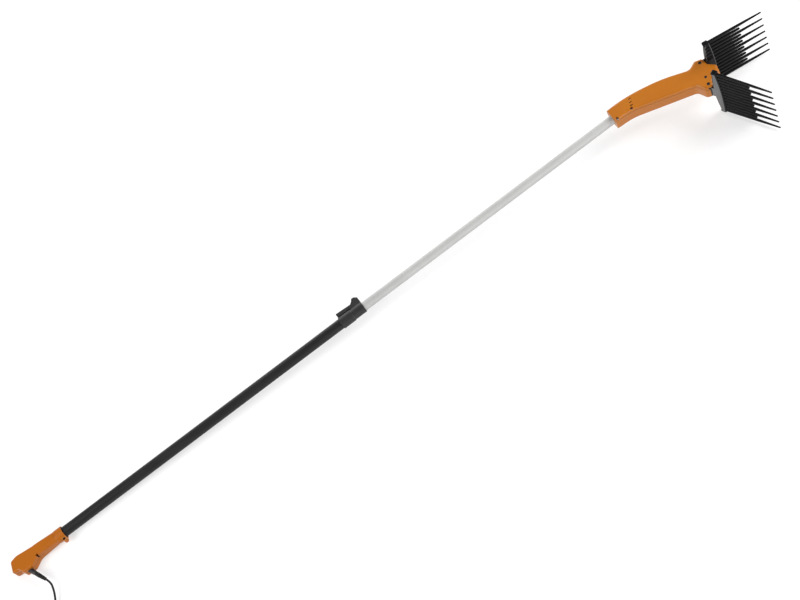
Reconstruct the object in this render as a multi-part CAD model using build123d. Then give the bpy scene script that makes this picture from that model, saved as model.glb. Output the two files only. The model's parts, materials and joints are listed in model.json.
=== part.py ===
"""Electric olive harvester: a telescopic pole with a two-comb beating head, lying on the ground.

The pieces are modelled in the tool's own frame: X runs along the pole towards the combs, with its
zero at the mouth of the handle, and Z runs along the hinge pins. The last sections lay the tool and
its lead on the ground. Millimetres.
"""
from build123d import *
import os
from math import atan2, cos, degrees, pi, radians, sin, tan

os.makedirs("parts", exist_ok=True)

# Clearances
seat_clearance = 0.1
running_clearance = 0.3

# Pole
outer_tube_diameter = 30.0
inner_tube_diameter = 26.0
tube_wall = 1.5
bare_outer_length = 953.0
bare_inner_length = 855.0
inner_tube_overlap = 165.0
handle_socket_depth = 80.0
head_socket_depth = 70.0
bush_flange_length = 8.0
bush_spigot_length = 22.0
wire_bore = 12.0
tube_plug_length = 18.0

# Pole clamp with its lever
clamp_sleeve_length = 40.0
clamp_collar_length = 38.0
clamp_sleeve_wall = 2.2
clamp_collar_wall = 2.6
lever_width = 14.0
lever_bottom = 19.5
lever_tip_top = 31.5
lever_root_top = 27.5
lever_root_setback = 12.5
lever_undercut_length = 14.0
lever_undercut_rise = 2.5
lever_pivot_height = 31.0
lever_pivot_setback = 10.0
lever_tip_setback = 2.0
lever_tip_round = 2.5
lever_grip_round = 20.0
lever_throat_round = 4.0
ear_corners = [(0.0, 31.6, 2.5), (-9.2, 39.0, 3.5), (-16.8, 39.0, 4.0), (-20.5, 32.0, 8.0),
               (-34.0, 21.0, 6.0)]
ear_wall = 3.5
cam_radius = 7.5
cam_offset = 0.6
clamp_pin_diameter = 5.0
shoe_length = 15.0

# Two-shell mouldings
side_share = 0.96
parting_depth = 1.2
parting_width = 1.6
screw_diameter = 4.0
screw_head_diameter = 7.0
screw_head_height = 3.0
screw_pocket_diameter = 8.4
screw_boss_diameter = 12.6

# Head casing
casing_half_thickness = 24.0
casing_wall = 3.0
casing_roof = 3.5
casing_edge_round = 8.0
casing_parting = 13.0
casing_rear_half = 22.5
casing_upper_bends = [(56.0, 24.5, 400.0), (165.0, 0.7, 400.0)]
casing_lower_bend = (50.5, -25.4, 150.0)
casing_screw_places = [(8.0, -19.2), (55.5, -21.3)]
casing_screw_top = 19.5
casing_screw_length = 24.0
head_reach = 265.0
head_drop = 73.0
head_angle = -18.6
hinge_spacing = 74.0
lug_radius = 13.5
lug_shoulder_round = 11.0
neck_upper = 30.5
neck_lower = 25.5
neck_end = 34.0
neck_round = 20.0
nose_reach = 40.0
nose_half = 15.0
nose_round = 10.0
notch_reach = 17.0
notch_half = 28.0
notch_round = 5.0
rib_thickness = 4.0
vent_length = 9.0
vent_width = 3.4
vent_places = [(69.0, 6.0), (65.0, -4.0), (61.0, -14.0)]

# Drive
motor_diameter = 36.0
motor_length = 60.0
motor_cap_diameter = 25.0
motor_cap_length = 8.0
motor_setback = 66.0
motor_rib_inset = 7.0
gearbox_half_width = 17.0
gearbox_bottom = -17.0
gearbox_top = 2.0
gearbox_pad_length = 58.0
adapter_diameter = 33.0
adapter_length = 37.0
output_shaft_diameter = 12.0
shaft_collar_diameter = 18.0
gear_bottom = 4.0
gear_thickness = 10.0
hub_teeth = 13
rocker_teeth = 24
hub_cut_count = 3
rocker_cut_count = 4
tooth_addendum = 0.6
tooth_dedendum = 0.95
tooth_sink = 1.5
tooth_backlash = 1.5
tooth_slope = 20.0
plate_radius = 10.0
plate_thickness = 3.0
plate_screw_offset = 13.0
plate_screw_length = 8.5

# Combs
comb_half_width = 97.0
comb_thickness = 14.0
comb_front = 42.0
comb_end_depth = 12.0
comb_middle_depth = 26.0
comb_front_bow = 5.0
comb_edge_round = 3.0
comb_knob_radius = 4.5
comb_face_round = 3.6
comb_gape = 28.0
comb_swing = 36.0
tine_pitch = 15.0
long_tine_count = 7
long_tine_length = 157.0
short_tine_length = 90.0
tine_root_diameter = 9.6
tine_middle_diameter = 7.8
tine_tip_diameter = 4.4
short_tip_diameter = 6.4
short_shoulder_share = 0.86
tine_socket_depth = 9.0
pocket_depth = 1.6
pocket_border = 3.0
pocket_rib = 3.0
hinge_pin_diameter = 7.0
hinge_head_diameter = 9.6
hinge_head_height = 1.8
hinge_head_sink = 0.5
hinge_bush_wall = 2.0
hinge_bush_length = 14.0

# Handle
handle_half_thickness = 17.5
handle_wall = 3.0
handle_edge_round = 5.0
handle_parting = 0.0
handle_corners = [
    (-95.0, 17.2, 12.0),
    (-147.0, 23.3, 40.0),
    (-168.0, 17.0, 8.0),
    (-176.5, -18.5, 5.4),
    (-156.5, -20.5, 6.0),
    (-147.5, -35.0, 6.5),
    (-118.0, -35.0, 11.0),
    (-92.0, -17.2, 36.0),
]
grip_radius = 17.0
grip_upper = 17.2
grip_lower = 17.2
collar_radius = 19.6
collar_length = 25.0
collar_edge_round = 1.2
mouth_recess_radius = 17.8
mouth_recess_depth = 9.0
boss_place = (-7.0, -22.0)
boss_half_height = 9.0
boss_screw_sink = 1.5
boss_screw_length = 16.0
butt_screw_place = (-93.0, -15.5)
butt_screw_top = 7.0
butt_screw_length = 16.0

# Rocker switch on the handle
switch_place = -109.0
switch_length = 20.0
switch_width = 10.0
switch_body_depth = 13.0
switch_bezel_wall = 1.5
switch_bezel_proud = 0.4
switch_pin_diameter = 2.4
switch_pin_depth = 3.0
rocker_well = 7.0
rocker_tilt = 7.0
rocker_end_rise = 1.4
rocker_middle_rise = 0.6
rocker_end_gap = 0.6
rocker_end_lean = 1.0
rocker_keel_half = 2.0

# Power socket, plug and strain relief
plug_angle = -64.0
plug_face = (-131.5, -35.0)
socket_diameter = 15.0
socket_depth = 20.0
socket_proud = 3.0
plug_diameter = 13.4
plug_length = 13.0
plug_core_diameter = 7.0
plug_core_depth = 10.0
plug_neck_diameter = 10.0
plug_neck_length = 4.0
boot_diameter = 12.4
boot_tip_diameter = 9.5
boot_length = 36.0
boot_straight_length = 12.0
boot_groove_count = 5
boot_groove_diameter = 8.3
boot_groove_width = 2.2
boot_groove_pitch = 4.4
boot_last_groove = 3.3

# Lead, its coil and the connector at its end
cord_diameter = 6.0
cord_bend_share = 0.45
cord_first_run = 19.0
cord_route = [
    (-101.0, -122.0, 17.0),
    (-107.0, -141.0, 13.0),
    (-116.5, -159.5, 9.0),
    (-128.0, -178.5, 6.0),
    (-140.5, -198.0, 4.5),
    (-151.5, -213.6, 4.5),
]
coil_gap = 0.8
coil_half_turns = 6
coil_outer_radius = 48.0
coil_end_run = 6.0
coil_samples = 800
tie_thickness = 1.2
tie_width = 12.0
tail_first_run = 22.0
tail_route = [(50.0, -7.0, 8.3), (76.0, -22.0, 8.3)]
connector_diameter = 16.0
connector_length = 34.0
connector_neck_diameter = 10.0
connector_neck_length = 12.0
barrel_diameter = 8.0
barrel_length = 14.0

# Stations along the pole and sizes that several pieces share
clamp_start = bare_outer_length
clamp_step = clamp_start + clamp_sleeve_length
clamp_end = clamp_step + clamp_collar_length
casing_rear = clamp_end + bare_inner_length
outer_radius = outer_tube_diameter / 2
inner_radius = inner_tube_diameter / 2
tube_bore = outer_radius - tube_wall
inner_bore = inner_radius - tube_wall
hinge_mid = Vector(casing_rear + head_reach, -head_drop)
casing_inside = casing_half_thickness - casing_roof
handle_inside = handle_half_thickness - handle_wall
handle_end = min(x for x, _, _ in handle_corners)
screw_boss_radius = screw_boss_diameter / 2


def along_x(radius, start, end, y=0.0, z=0.0):
    """Round bar along the pole."""
    return Pos((start + end) / 2, y, z) * Rot(0, 90, 0) * Cylinder(radius, end - start)


def upright(radius, bottom, top, x=0.0, y=0.0):
    """Round bar along Z."""
    return Pos(x, y, (bottom + top) / 2) * Cylinder(radius, top - bottom)


def block(x0, x1, y0, y1, z0, z1):
    """Box between two corners."""
    return Pos((x0 + x1) / 2, (y0 + y1) / 2, (z0 + z1) / 2) * Box(x1 - x0, y1 - y0, z1 - z0)


def rounded_outline(corners):
    """Face inside (x, y, radius) corners, where rounds that meet on a side share its length."""
    points = [Vector(x, y) for x, y, _ in corners]
    count = len(points)
    reach = []
    for i, (_, _, radius) in enumerate(corners):
        before = points[i] - points[i - 1]
        after = points[(i + 1) % count] - points[i]
        reach.append(radius * tan(radians(before.get_angle(after)) / 2))
    fit = []
    for i in range(count):
        side = (points[(i + 1) % count] - points[i]).length
        taken = reach[i] + reach[(i + 1) % count]
        fit.append(min(1.0, side_share * side / taken) if taken > 0 else 1.0)
    radii = [radius * min(fit[i - 1], fit[i]) for i, (_, _, radius) in enumerate(corners)]
    return make_face(FilletPolyline(points, radius=radii, close=True))


def head_point(forward, aside):
    """Point of the head frame, whose origin is midway between the hinge pins, in the tool frame."""
    return hinge_mid + Vector(forward, aside).rotate(Axis.Z, head_angle)


head_place = Location((hinge_mid.X, hinge_mid.Y, 0), (0, 0, head_angle))
hinges = [head_point(0, hinge_spacing / 2), head_point(0, -hinge_spacing / 2)]


def both_shells(solid, outline, height):
    """The near and far shells of a moulding that parts at a height, with a shadow gap in the near rim."""
    groove = extrude(outline - offset(outline, -parting_depth), parting_width)
    plane = Plane.XY.offset(height)
    near = split(solid, plane, keep=Keep.TOP) - Pos(0, 0, height) * groove
    return near, split(solid, plane, keep=Keep.BOTTOM)


def screw(x, y, top, length):
    """Pan-head screw along Z with its head's top at the given height."""
    head = upright(screw_head_diameter / 2, top - screw_head_height, top, x, y)
    return head + upright(screw_diameter / 2, top - length, top - screw_head_height, x, y)


def screw_hole(x, y, top, length, mouth):
    """Room for a screw: its shank and the pocket of its head, open up to the mouth."""
    hole = upright(screw_diameter / 2 + seat_clearance, top - length, top, x, y)
    return hole + upright(screw_pocket_diameter / 2, top - screw_head_height, mouth, x, y)


# Pole: outer tube, inner tube, guide bush at its lower end and the plug in the handle end
outer_tube = along_x(outer_radius, -handle_socket_depth, clamp_step)
outer_tube -= along_x(tube_bore, -handle_socket_depth, clamp_step)

inner_tube_start = clamp_step - inner_tube_overlap
inner_tube_end = casing_rear + head_socket_depth
inner_tube = along_x(inner_radius, inner_tube_start, inner_tube_end)
inner_tube -= along_x(inner_bore, inner_tube_start, inner_tube_end)

bush_start = inner_tube_start - bush_flange_length
bush_end = inner_tube_start + bush_spigot_length
guide_bush = along_x(tube_bore - running_clearance, bush_start, inner_tube_start)
guide_bush += along_x(inner_bore - seat_clearance, inner_tube_start, bush_end)
guide_bush -= along_x(wire_bore / 2, bush_start, bush_end)

tube_plug_end = tube_plug_length - handle_socket_depth
tube_plug = along_x(tube_bore - seat_clearance, -handle_socket_depth, tube_plug_end)
tube_plug -= along_x(wire_bore / 2, -handle_socket_depth, tube_plug_end)

# Pole clamp: a stepped sleeve with two ears, the cam lever between them, its pin and the shoe under the cam
sleeve_radius = outer_radius + clamp_sleeve_wall
collar_outer = inner_radius + clamp_collar_wall
pivot_x = clamp_end - lever_pivot_setback
lever_half = lever_width / 2
slot_half = lever_half + running_clearance
ear_half = slot_half + ear_wall
shoe_half = shoe_length / 2
ear_top = max(y for _, y, _ in ear_corners)
ear_sides = [(clamp_end + x, y, r) for x, y, r in ear_corners]
ear_outline = rounded_outline([(ear_sides[-1][0], 0.0, 0.0), (clamp_end, 0.0, 0.0)] + ear_sides)
clamp_body = along_x(sleeve_radius, clamp_start, clamp_step)
clamp_body += along_x(collar_outer, clamp_step, clamp_end)
clamp_body += extrude(ear_outline, ear_half, both=True)
clamp_body -= along_x(outer_radius + seat_clearance, clamp_start, clamp_step)
clamp_body -= along_x(inner_radius + running_clearance, clamp_step, clamp_end)
clamp_body -= block(clamp_step, clamp_end, collar_outer, ear_top, -slot_half, slot_half)
shoe_room = shoe_half + running_clearance
clamp_body -= block(pivot_x - shoe_room, pivot_x + shoe_room, 0, collar_outer, -slot_half, slot_half)
pin_radius = clamp_pin_diameter / 2
clamp_body -= upright(pin_radius + seat_clearance, -ear_half, ear_half, pivot_x, lever_pivot_height)
clamp_pin = upright(pin_radius, -ear_half, ear_half, pivot_x, lever_pivot_height)

lever_tip = clamp_start + lever_tip_setback
cam_height = lever_pivot_height - cam_offset
lever_outline = rounded_outline([
    (pivot_x, lever_root_top, 0.0),
    (lever_tip, lever_tip_top, lever_tip_round),
    (lever_tip, lever_bottom + lever_undercut_rise, lever_tip_round),
    (lever_tip + lever_undercut_length, lever_bottom, lever_grip_round),
    (pivot_x - lever_root_setback, lever_bottom, lever_tip_round),
    (pivot_x, cam_height, 0.0),
])
lever_outline += Pos(pivot_x, cam_height) * Circle(cam_radius)
throat = lever_outline.vertices().sort_by_distance((pivot_x - cam_radius, lever_pivot_height))[0]
lever_outline = fillet(throat, lever_throat_round)
clamp_lever = extrude(lever_outline, lever_half, both=True)
clamp_lever -= upright(pin_radius + running_clearance, -ear_half, ear_half, pivot_x, lever_pivot_height)

shoe_top = cam_height - cam_radius - running_clearance
clamp_shoe = block(pivot_x - shoe_half, pivot_x + shoe_half, 0, shoe_top, -lever_half, lever_half)
clamp_shoe -= along_x(inner_radius + running_clearance, clamp_step, clamp_end)

# Head casing: two shells with ribs that hold the tube and the motor, lugs for the hinge pins and a nose
lug_outer = hinge_spacing / 2 + lug_radius
lug = [(-lug_radius, lug_outer, lug_shoulder_round), (lug_radius, lug_outer, lug_radius)]
front = lug + [(notch_reach, notch_half, notch_round), (nose_reach, nose_half, nose_round)]
head_corners = [(-neck_end, neck_upper, neck_round)] + front
head_corners += [(u, -w, r) for u, w, r in reversed(front)] + [(-neck_end, -neck_lower, neck_round)]
casing_corners = [(casing_rear, -casing_rear_half, 0.0), (casing_rear, casing_rear_half, 0.0)]
casing_corners += [(casing_rear + x, y, r) for x, y, r in casing_upper_bends]
casing_corners += [(head_point(u, w).X, head_point(u, w).Y, r) for u, w, r in head_corners]
casing_corners += [(casing_rear + x, y, r) for x, y, r in [casing_lower_bend]]
casing_outline = rounded_outline(casing_corners)

casing = extrude(casing_outline, casing_half_thickness, both=True)
rim = casing.faces().filter_by(Axis.Z).edges()
rim = rim.filter_by(lambda edge: edge.center().X > casing_rear + seat_clearance)
casing = fillet(rim, casing_edge_round)

cavity = extrude(offset(casing_outline, -casing_wall), casing_inside, both=True)
tube_seat = inner_radius + seat_clearance
tube_ribs = [(share * (head_socket_depth - rib_thickness), tube_seat) for share in (0, 1 / 2, 1)]
for start, bore in tube_ribs + [(head_socket_depth, inner_bore)]:
    x = casing_rear + start
    rib = block(x, x + rib_thickness, -2 * casing_rear_half, 2 * casing_rear_half,
                -casing_inside, casing_inside)
    cavity = cavity - (rib - along_x(bore, x, x + rib_thickness))
motor_radius = motor_diameter / 2
for inset in (motor_rib_inset, motor_length - motor_rib_inset):
    rib = Box(rib_thickness, 3 * motor_diameter, 2 * casing_inside)
    rib -= Rot(0, 90, 0) * Cylinder(motor_radius + seat_clearance, rib_thickness)
    cavity = cavity - head_place * Pos(-motor_setback - inset, 0, 0) * rib
gearbox_pad = block(-gearbox_pad_length, 0, -gearbox_half_width / 2, gearbox_half_width / 2,
                    -casing_inside, gearbox_bottom)
cavity = cavity - head_place * gearbox_pad

shaft_radius = output_shaft_diameter / 2
plate_bottom = gear_bottom + gear_thickness + 2 * running_clearance
plate_top = plate_bottom + plate_thickness
plate_plan = Circle(plate_radius) + Pos(0, -plate_screw_offset) * Circle(screw_boss_radius)
plate_plan += Rectangle(screw_boss_diameter, plate_screw_offset, align=(Align.CENTER, Align.MAX))
plate_plan -= Circle(shaft_radius + running_clearance)
plate_pad = extrude(plate_plan, casing_inside - plate_top - seat_clearance)
cavity = cavity - head_place * Pos(0, 0, plate_top + seat_clearance) * plate_pad

casing_screw_spots = [Vector(casing_rear + x, y) for x, y in casing_screw_places]
for spot in casing_screw_spots:
    cavity = cavity - upright(screw_boss_radius, -casing_inside, casing_inside, spot.X, spot.Y)
casing -= cavity

window_width = comb_thickness + 2 * casing_wall
window = Rectangle(comb_front + comb_thickness, window_width, align=(Align.MIN, Align.CENTER))
for hinge, side in zip(hinges, (1, -1)):
    for turn in (-comb_swing / 2, 0, comb_swing / 2):
        swung = Location((hinge.X, hinge.Y, 0), (0, 0, head_angle + side * comb_gape + turn))
        casing -= swung * extrude(window, casing_inside, both=True)
    casing -= upright(lug_radius, -casing_inside, casing_inside, hinge.X, hinge.Y)
    casing -= upright(hinge_pin_diameter / 2 + seat_clearance, -casing_inside - casing_roof / 2,
                      casing_half_thickness, hinge.X, hinge.Y)
    casing -= upright(hinge_head_diameter / 2 + seat_clearance,
                      casing_half_thickness - hinge_head_sink - hinge_head_height,
                      casing_half_thickness, hinge.X, hinge.Y)
casing -= along_x(tube_seat, casing_rear, inner_tube_end)
plate_screw_spot = head_point(0, -plate_screw_offset)
plate_screw_top = casing_inside + screw_head_height
casing_screw_set = [(spot.X, spot.Y, casing_screw_top, casing_screw_length) for spot in casing_screw_spots]
casing_screw_set += [(plate_screw_spot.X, plate_screw_spot.Y, plate_screw_top, plate_screw_length)]
for x, y, top, length in casing_screw_set:
    casing -= screw_hole(x, y, top, length, casing_half_thickness)
vent = extrude(SlotOverall(vent_length, vent_width), casing_half_thickness)
for x, y in vent_places:
    casing -= Pos(casing_rear + x, y, casing_inside) * vent
casing_near, casing_far = both_shells(casing, casing_outline, casing_parting)
casing_screws = Compound([screw(*values) for values in casing_screw_set])

# Drive: motor, right-angle gearbox, the toothed rocker on its output shaft and the plate that steadies it
motor_end = -motor_setback - motor_length
motor = along_x(motor_radius, motor_end, -motor_setback)
motor += along_x(motor_cap_diameter / 2, motor_end - motor_cap_length, motor_end)
motor = head_place * motor

gearbox_plan = Circle(gearbox_half_width)
gearbox_plan += Rectangle(motor_setback, 2 * gearbox_half_width, align=(Align.MAX, Align.CENTER))
gearbox = Pos(0, 0, gearbox_bottom) * extrude(gearbox_plan, gearbox_top - gearbox_bottom)
gearbox += along_x(adapter_diameter / 2, -motor_setback, adapter_length - motor_setback)
shaft_bottom = gearbox_bottom / 2
gearbox -= upright(shaft_radius + running_clearance, shaft_bottom - running_clearance, adapter_diameter)
gearbox = head_place * gearbox

shaft_plate = Pos(0, 0, plate_bottom) * extrude(plate_plan, plate_thickness)
shaft_plate -= upright(screw_diameter / 2 + seat_clearance, plate_bottom, plate_top, 0, -plate_screw_offset)
shaft_plate = head_place * shaft_plate

module = hinge_spacing / (hub_teeth + rocker_teeth)
hub_pitch_radius = module * hub_teeth / 2
rocker_pitch_radius = module * rocker_teeth / 2
root_depth = tooth_dedendum * module
tip_height = tooth_addendum * module


def gear_teeth(pitch_radius, tooth_count, cut_count, middle):
    """Straight-flanked teeth of a gear, as many as are cut about the middle angle."""
    half = (pi * module - tooth_backlash) / 4
    lean = tan(radians(tooth_slope))
    root = pitch_radius - root_depth
    tip = pitch_radius + tip_height
    flank = [(root - tooth_sink * module, half + root_depth * lean), (root, half + root_depth * lean),
             (tip, half - tip_height * lean)]
    tooth = Polyline(flank + [(x, -y) for x, y in reversed(flank)], close=True)
    body = Pos(0, 0, gear_bottom) * extrude(make_face(tooth), gear_thickness)
    places = [k - (cut_count - 1) / 2 for k in range(cut_count)]
    return [Rot(0, 0, middle + 360 / tooth_count * k) * body for k in places]


rocker_root = rocker_pitch_radius - root_depth
rocker_half = rocker_root * sin(pi * rocker_cut_count / rocker_teeth)
rocker_plan = Circle(rocker_root) & Rectangle(2 * rocker_half, 2 * rocker_root)
rocker_arm = Pos(0, 0, gear_bottom) * extrude(rocker_plan, gear_thickness)
for side in (90, -90):
    for tooth in gear_teeth(rocker_pitch_radius, rocker_teeth, rocker_cut_count, side):
        rocker_arm += tooth
rocker_arm += upright(shaft_radius, shaft_bottom, casing_inside - running_clearance)
rocker_arm += upright(shaft_collar_diameter / 2, gearbox_top + running_clearance, gear_bottom)
rocker_ratio = -hub_teeth / rocker_teeth
rest_turn = -comb_swing / 2
drive_rocker = head_place * Rot(0, 0, rest_turn * rocker_ratio) * rocker_arm

# Comb: a D-shaped base with a pocketed inner face, an arm to the toothed hub, bushes and two rows of tines
hub_radius = hub_pitch_radius - root_depth
hub_half = casing_inside - running_clearance
comb_back = comb_front - comb_front_bow - comb_end_depth
comb_end_front = comb_front - comb_front_bow
base_edges = ThreePointArc((comb_end_front, -comb_half_width), (comb_front, 0),
                           (comb_end_front, comb_half_width))
base_edges += Line((comb_end_front, comb_half_width), (comb_back, comb_half_width))
base_edges += ThreePointArc((comb_back, comb_half_width), (comb_front - comb_middle_depth, 0),
                            (comb_back, -comb_half_width))
base_edges += Line((comb_back, -comb_half_width), (comb_end_front, -comb_half_width))
base_face = make_face(base_edges)
base_plan = base_face
knob_place = comb_half_width - comb_knob_radius
for end in (knob_place, -knob_place):
    base_plan += Pos(comb_back, end) * Circle(comb_knob_radius)
front_corners = base_plan.vertices().filter_by(lambda corner: corner.X > comb_back + comb_edge_round)
base_plan = fillet(front_corners, comb_edge_round)
knob_corners = base_plan.vertices().filter_by(lambda corner: abs(corner.Y) < knob_place)
base_plan = fillet(knob_corners, comb_edge_round)
comb_base = extrude(Plane.XZ * base_plan, comb_thickness / 2, both=True)
outer_face = comb_base.faces().sort_by(Axis.Y)[-1]
comb_base = fillet(outer_face.edges(), comb_face_round)

tine_places = [tine_pitch * (k - (long_tine_count - 1)) for k in range(2 * long_tine_count - 1)]
pocket_plan = offset(base_face, -pocket_border)
for z in tine_places:
    pocket_plan -= Pos(comb_front, z) * Rectangle(2 * comb_front, pocket_rib)
pocket_plan -= Rectangle(2 * comb_front, 2 * hub_half + 2 * pocket_rib)
comb_base -= extrude(Plane.XZ.offset(comb_thickness / 2) * pocket_plan, -pocket_depth)
arm_length = comb_front - comb_middle_depth / 2
comb_base += block(0, arm_length, -comb_thickness / 2, comb_thickness / 2, -hub_half, hub_half)
tine_root_radius = tine_root_diameter / 2
tine_start = comb_front - tine_socket_depth
for z in tine_places:
    comb_base -= along_x(tine_root_radius + seat_clearance, tine_start, comb_front, z=z)


def tine(length, shoulder, tip_diameter, z):
    """Round tine that tapers past a shoulder to a domed tip, with a root that plugs into the base."""
    radius = tip_diameter / 2
    tip = comb_front + length
    edges = Polyline((tip - radius, radius), (comb_front + shoulder, tine_middle_diameter / 2),
                     (comb_front, tine_root_radius), (tine_start, tine_root_radius), (tine_start, 0),
                     (tip, 0))
    dome = (tip - radius * (1 - cos(pi / 4)), radius * sin(pi / 4))
    edges += ThreePointArc((tip, 0), dome, (tip - radius, radius))
    return Pos(0, 0, z) * revolve(make_face(edges), Axis.X)


long_tine = (long_tine_length, short_tine_length, tine_tip_diameter)
short_tine = (short_tine_length, short_tine_length * short_shoulder_share, short_tip_diameter)
bush_bore = hinge_pin_diameter / 2 + running_clearance
bush_radius = bush_bore + hinge_bush_wall
hub = upright(hub_radius, -hub_half, hub_half)
for tooth in gear_teeth(hub_pitch_radius, hub_teeth, hub_cut_count, -90):
    hub += tooth
bush = extrude(Circle(bush_radius) - Circle(bush_bore), hinge_bush_length)
gape = Rot(0, 0, comb_gape)
comb_pieces = {
    "comb_base": [gape * comb_base + hub - upright(bush_radius + seat_clearance, -hub_half, hub_half)],
    "comb_long_tines": [gape * tine(*long_tine, z) for z in tine_places[::2]],
    "comb_short_tines": [gape * tine(*short_tine, z) for z in tine_places[1::2]],
    "comb_bushes": [Pos(0, 0, bottom) * bush for bottom in (-hub_half, hub_half - hinge_bush_length)],
}
combs = {}
for name, hinge in zip(("upper", "lower"), hinges):
    place = Location((hinge.X, hinge.Y, 0), (0, 0, head_angle + rest_turn))
    for kind, solids in comb_pieces.items():
        handed = solids if name == "upper" else [mirror(piece, Plane.XZ) for piece in solids]
        combs[name + "_" + kind] = Compound([place * piece for piece in handed])

hinge_top = casing_half_thickness - hinge_head_sink
hinge_pin = upright(hinge_pin_diameter / 2, -casing_inside - casing_roof / 2, hinge_top)
hinge_pin += upright(hinge_head_diameter / 2, hinge_top - hinge_head_height, hinge_top)
hinge_pins = Compound([Pos(*hinge) * hinge_pin for hinge in hinges])

# Handle: two shells with a round grip on the tube and a flat butt that holds the switch and the power socket
plug_place = Location((plug_face[0], plug_face[1], 0), (0, 0, plug_angle))
body_corners = [(-handle_socket_depth, -grip_lower, 0.0), (-handle_socket_depth, grip_upper, 0.0)]
body_corners += handle_corners
handle_outline = rounded_outline(body_corners)
handle = extrude(handle_outline, handle_half_thickness, both=True)
rim = handle.faces().filter_by(Axis.Z).edges()
body_start = -handle_socket_depth - seat_clearance
handle = fillet(rim.filter_by(lambda edge: edge.center().X < body_start), handle_edge_round)
grip_front = RectangleRounded(2 * grip_radius, 2 * grip_radius, grip_radius - seat_clearance)
grip_rear = RectangleRounded(grip_upper + grip_lower, 2 * handle_half_thickness, handle_edge_round)
grip_rear = Pos((grip_upper - grip_lower) / 2, 0) * grip_rear
handle += loft([Plane.YZ * grip_front, Plane.YZ.offset(-handle_socket_depth) * grip_rear])
grip_collar = along_x(collar_radius, -collar_length, 0)
handle += fillet(grip_collar.edges().filter_by(GeomType.CIRCLE), collar_edge_round)
boss_x, boss_y = boss_place
boss_outline = Pos(boss_x, boss_y) * Circle(screw_boss_radius)
boss_outline += Pos(boss_x, 0) * Rectangle(screw_boss_diameter, -boss_y, align=(Align.CENTER, Align.MAX))
handle += extrude(boss_outline, boss_half_height, both=True)

handle_cavity = extrude(offset(handle_outline, -handle_wall), handle_inside, both=True)
handle_cavity = handle_cavity - upright(screw_boss_radius, -handle_inside, handle_inside, *butt_screw_place)
handle -= handle_cavity
handle -= along_x(outer_radius + seat_clearance, -handle_socket_depth, 0)
handle -= along_x(mouth_recess_radius, -mouth_recess_depth, 0)
handle -= along_x(wire_bore / 2, -handle_socket_depth - 2 * handle_wall, -handle_socket_depth)
handle -= plug_place * along_x(socket_diameter / 2 + seat_clearance, -socket_depth, socket_depth)

upper_wall = [Vector(x, y) for x, y, _ in handle_corners[:2]]
wall_slope = (upper_wall[0].Y - upper_wall[1].Y) / (upper_wall[0].X - upper_wall[1].X)
switch_height = upper_wall[0].Y + wall_slope * (switch_place - upper_wall[0].X)
switch_at = Location((switch_place, switch_height, 0), (0, 0, degrees(atan2(wall_slope, 1))))
bezel_half = switch_length / 2 + switch_bezel_wall
bezel_side = switch_width / 2 + switch_bezel_wall
switch_hole = bezel_half + seat_clearance
switch_hole_side = bezel_side + seat_clearance
handle -= switch_at * block(-switch_hole, switch_hole, -2 * handle_wall, 2 * handle_wall,
                            -switch_hole_side, switch_hole_side)
handle_screw_set = [(boss_x, boss_y, boss_half_height - boss_screw_sink, boss_screw_length)]
handle_screw_set += [(*butt_screw_place, butt_screw_top, butt_screw_length)]
for x, y, top, length in handle_screw_set:
    handle -= screw_hole(x, y, top, length, handle_half_thickness)
handle_near, handle_far = both_shells(handle, handle_outline, handle_parting)
handle_screws = Compound([screw(*values) for values in handle_screw_set])

# Rocker switch: a body clipped in the wall and a rocker that tilts on a pin through it
switch_body = block(-bezel_half, bezel_half, -switch_body_depth, switch_bezel_proud, -bezel_side, bezel_side)
switch_body -= block(-switch_length / 2, switch_length / 2, -rocker_well, switch_bezel_proud,
                     -switch_width / 2, switch_width / 2)
switch_pin = Pos(0, -switch_pin_depth) * Circle(switch_pin_diameter / 2)
switch_body += extrude(switch_pin, bezel_side, both=True)
switch_body = switch_at * switch_body

cap_half = switch_length / 2 - rocker_end_gap
cap_side = switch_width / 2 - running_clearance
keel_depth = switch_pin_depth + rocker_keel_half
cap_edge = [(cap_half, rocker_end_rise), (cap_half - rocker_end_lean, -switch_pin_depth),
            (rocker_keel_half, -keel_depth)]
cap_outline = [(0, rocker_middle_rise)] + cap_edge + [(-x, y) for x, y in reversed(cap_edge)]
cap_plan = make_face(Polyline(cap_outline, close=True))
cap_plan -= Pos(0, -switch_pin_depth) * Circle(switch_pin_diameter / 2 + running_clearance)
rocker_cap = extrude(cap_plan, cap_side, both=True)
switch_pivot = switch_at * Pos(0, -switch_pin_depth)
switch_rocker = switch_pivot * Rot(0, 0, -rocker_tilt) * Pos(0, switch_pin_depth) * rocker_cap

# Power socket, plug and strain relief, along the plug's axis
neck_start = socket_proud + plug_length
boot_start = neck_start + plug_neck_length
boot_end = boot_start + boot_length
core_radius = plug_core_diameter / 2
power_socket = along_x(socket_diameter / 2, -socket_depth, socket_proud)
power_socket -= along_x(core_radius + seat_clearance, -plug_core_depth, socket_proud)
power_plug = along_x(plug_diameter / 2, socket_proud, neck_start)
power_plug += along_x(core_radius, -plug_core_depth, socket_proud)
power_plug += along_x(plug_neck_diameter / 2, neck_start, boot_start)
boot_radius = boot_diameter / 2
boot_profile = Polyline((boot_start, 0), (boot_start, boot_radius),
                        (boot_start + boot_straight_length, boot_radius),
                        (boot_end, boot_tip_diameter / 2), (boot_end, 0), close=True)
cord_boot = revolve(make_face(boot_profile), Axis.X)
for k in range(boot_groove_count):
    start = boot_end - boot_last_groove - boot_groove_pitch * k - boot_groove_width / 2
    end = start + boot_groove_width
    cord_boot -= along_x(boot_radius, start, end) - along_x(boot_groove_diameter / 2, start, end)
power_socket, power_plug, cord_boot = [plug_place * piece for piece in (power_socket, power_plug, cord_boot)]

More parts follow.
